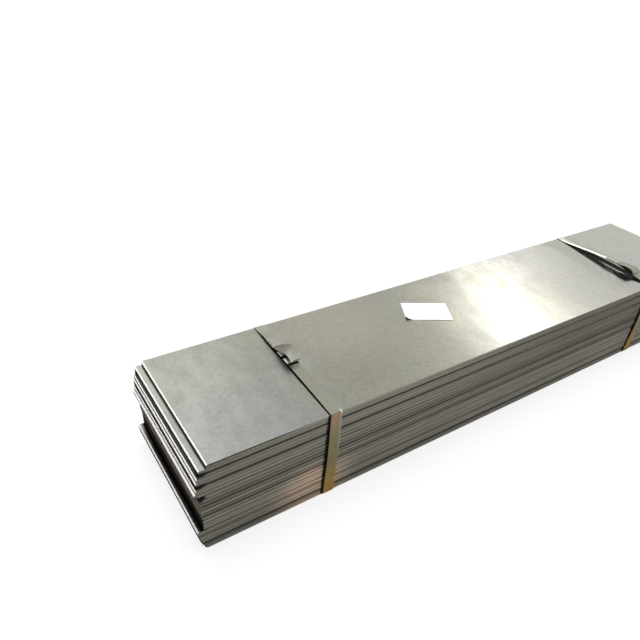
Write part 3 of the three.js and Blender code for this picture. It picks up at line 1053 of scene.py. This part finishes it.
def label_point(across, along, height):
    """A point of the sheet: its near left corner is rolled up, the rest lies with slight waves."""
    diagonal = (across + along) / math.sqrt(2)
    in_curl = CURL_REACH - diagonal
    if in_curl <= 0:
        wave = 1 + noise.noise(Vector((across / LABEL_WAVES[0], along / LABEL_WAVES[1], 2.3)))
        rise = LABEL_WAVE * wave * smooth(diagonal, CURL_REACH, LABEL_WAVE_FULL)
        return across, along, height + rise
    angle = in_curl / CURL_RADIUS
    radius = CURL_RADIUS - height
    shift = (in_curl - radius * math.sin(angle)) / math.sqrt(2)
    return across + shift, along + shift, CURL_RADIUS - radius * math.cos(angle)


def label_points():
    """The upper and then the lower layer's grid of points, in metres."""
    turned = Quaternion((0, 0, 1), LABEL_TURN)
    top_low, top_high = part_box("plate_01")
    middle = Vector((top_low.x, top_low.y, top_high.z)) + Vector((*LABEL_PLACE, SEAT_GAP)) * MM
    points = []
    for height in (LABEL_THICKNESS, 0.0):
        for i in range(LABEL_COLUMNS + 1):
            for j in range(LABEL_ROWS + 1):
                flat = (LABEL_LENGTH * i / LABEL_COLUMNS, LABEL_WIDTH * j / LABEL_ROWS)
                x, y, z = label_point(*flat, height)
                from_middle = Vector((x - LABEL_LENGTH / 2, y - LABEL_WIDTH / 2, z))
                points.append(middle + turned @ from_middle * MM)
    return points


def label_faces():
    def spot(i, j, layer):
        return (layer * (LABEL_COLUMNS + 1) + i) * (LABEL_ROWS + 1) + j

    faces = []
    for i in range(LABEL_COLUMNS):
        for j in range(LABEL_ROWS):
            faces.append((spot(i, j, 0), spot(i + 1, j, 0), spot(i + 1, j + 1, 0), spot(i, j + 1, 0)))
            faces.append((spot(i, j, 1), spot(i, j + 1, 1), spot(i + 1, j + 1, 1), spot(i + 1, j, 1)))
    loop = border(LABEL_COLUMNS + 1, LABEL_ROWS + 1)
    for here, after in zip(loop, [*loop[1:], loop[0]]):
        faces.append((spot(*here, 1), spot(*after, 1), spot(*after, 0), spot(*here, 0)))
    return faces


def build_label(look):
    mesh = add_mesh("paper_label", label_points(), label_faces())
    mesh.materials.append(look)
    finish_piece("paper_label", mesh, "label", sharp_angle=50)


# ---- Studio ----

FLOOR_HALF = 30.0
# How far the floor's own white hides the shadows on it from the camera.
FLOOR_GLOW = 0.8
# The floor's colour in reflections and in the light that it throws back.
FLOOR_REFLECTED = (0.34, 0.33, 0.30)
# Soft glows of the room round the pack: azimuth, elevation, half width in degrees, strength.
GLOWS = [
    (84, 46, 24, 1.2),
    (48, 36, 60, 0.28),
    (32, 25, 22, 0.10),
    (8, 14, 40, 0.20),
    (134, 12, 27, 1.45),
]
DARK_SIDE = (-115, 32, 85, -0.20)
# The room's light away from all glows, and the least that the dark side leaves of it.
ROOM, DARKEST = 0.38, 0.02
# How white the background is to the camera.
BACKDROP = 0.95


def make_floor():
    half = FLOOR_HALF
    corners = [(-half, -half, 0), (half, -half, 0), (half, half, 0), (-half, half, 0)]
    mesh = add_mesh("floor", corners, [(0, 1, 2, 3)])
    material, n, place = new_material("floor")
    cloud = n.noise(place, 1.5, detail=3.0)
    pale = n.mix(n.ramp(cloud, 0.3, 0.7), (0.93, 0.93, 0.93), (0.96, 0.96, 0.955))
    seen = n.add("LightPath").outputs["Is Camera Ray"]
    shader = n.add("BsdfDiffuse", Color=n.mix(seen, FLOOR_REFLECTED, pale))
    glow = n.add("Emission", Color=(*WHITE, 1.0), Strength=1.0)
    both = n.add("MixShader", i0=n.times(seen, FLOOR_GLOW), i1=shader.outputs[0], i2=glow.outputs[0])
    n.show(both)
    mesh.materials.append(material)
    floor = add_object("floor", mesh)


def direction(azimuth, elevation):
    """Unit vector at an azimuth from +X towards +Y, both angles in degrees."""
    a, e = math.radians(azimuth), math.radians(elevation)
    return Vector((math.cos(a) * math.cos(e), math.sin(a) * math.cos(e), math.sin(e)))


def add_lamp(name, kind, power, color):
    data = bpy.data.lights.new(name, kind)
    data.energy = power
    data.color = color
    lamp = add_object(name, data)
    lamp.rotation_mode = "QUATERNION"
    return lamp


def area_light(name, azimuth, elevation, distance, target, size, slant, power, color):
    """A rectangle facing target. Its long side climbs by slant degrees towards growing azimuth."""
    lamp = add_lamp(name, "AREA", power, color)
    lamp.data.shape = "RECTANGLE"
    lamp.data.size, lamp.data.size_y = size
    toward = direction(azimuth, elevation)
    lamp.location = Vector(target) + toward * distance
    sideways = Vector((0, 0, 1)).cross(toward).normalized()
    upward = toward.cross(sideways)
    slope = math.radians(slant)
    long_axis = sideways * math.cos(slope) + upward * math.sin(slope)
    turn = Matrix((long_axis, toward.cross(long_axis), toward)).transposed()
    lamp.rotation_quaternion = turn.to_quaternion()


def sun_light(name, azimuth, elevation, spread, power, color, mirrored=True):
    """A far light. One that isn't mirrored leaves no glare on the metal, so the top reads from above."""
    lamp = add_lamp(name, "SUN", power, color)
    lamp.data.angle = math.radians(spread)
    lamp.rotation_quaternion = direction(azimuth, elevation).to_track_quat("Z", "Y")
    lamp.visible_glossy = mirrored


def make_world():
    """A room that is brighter in places to the pack, and plain white to the camera."""
    world = bpy.data.worlds.new("studio")
    n = cleared(world)
    toward = n.add("TexCoord").outputs["Generated"]
    level = ROOM
    for azimuth, elevation, width, strength in [*GLOWS, DARK_SIDE]:
        near = n.dot(toward, tuple(direction(azimuth, elevation)))
        glow = n.ramp(near, math.cos(math.radians(width)), 1.0, 0.0, strength)
        level = n.math("ADD", level, glow)
    level = n.math("MAXIMUM", level, DARKEST)
    room = n.add("Background", Color=(0.97, 0.985, 1.0, 1.0), Strength=level)
    seen = n.add("Background", Color=(*WHITE, 1.0), Strength=BACKDROP)
    pick = n.add("LightPath").outputs["Is Camera Ray"]
    both = n.add("MixShader", i0=pick, i1=room.outputs[0], i2=seen.outputs[0])
    n.show(both, "World")
    bpy.context.scene.world = world


def make_studio():
    make_world()
    make_floor()
    area_light(
        "window", azimuth=33.3, elevation=30.7, distance=6.0, target=(0.135, 0.0, TOP_HEIGHT),
        size=(1.1, 0.42), slant=-33, power=24, color=(1.0, 0.99, 0.96))
    sun_light("overhead", azimuth=105, elevation=83, spread=40, power=2.7, color=WHITE, mirrored=False)
    sun_light("side", azimuth=-16, elevation=12, spread=9, power=0.7, color=(1.0, 0.95, 0.88))
    bpy.context.scene.view_settings.view_transform = "Standard"


# ---- Assembly ----


def main():
    make_camera()
    make_studio()
    plate_looks = [mill_material(), side_material(), end_material()]
    for number, node in enumerate(PLATES, start=1):
        build_plate(number, node, plate_looks)
    build_straps(strap_material())
    dress_seals(seal_material())
    build_label(paper_material())


main()
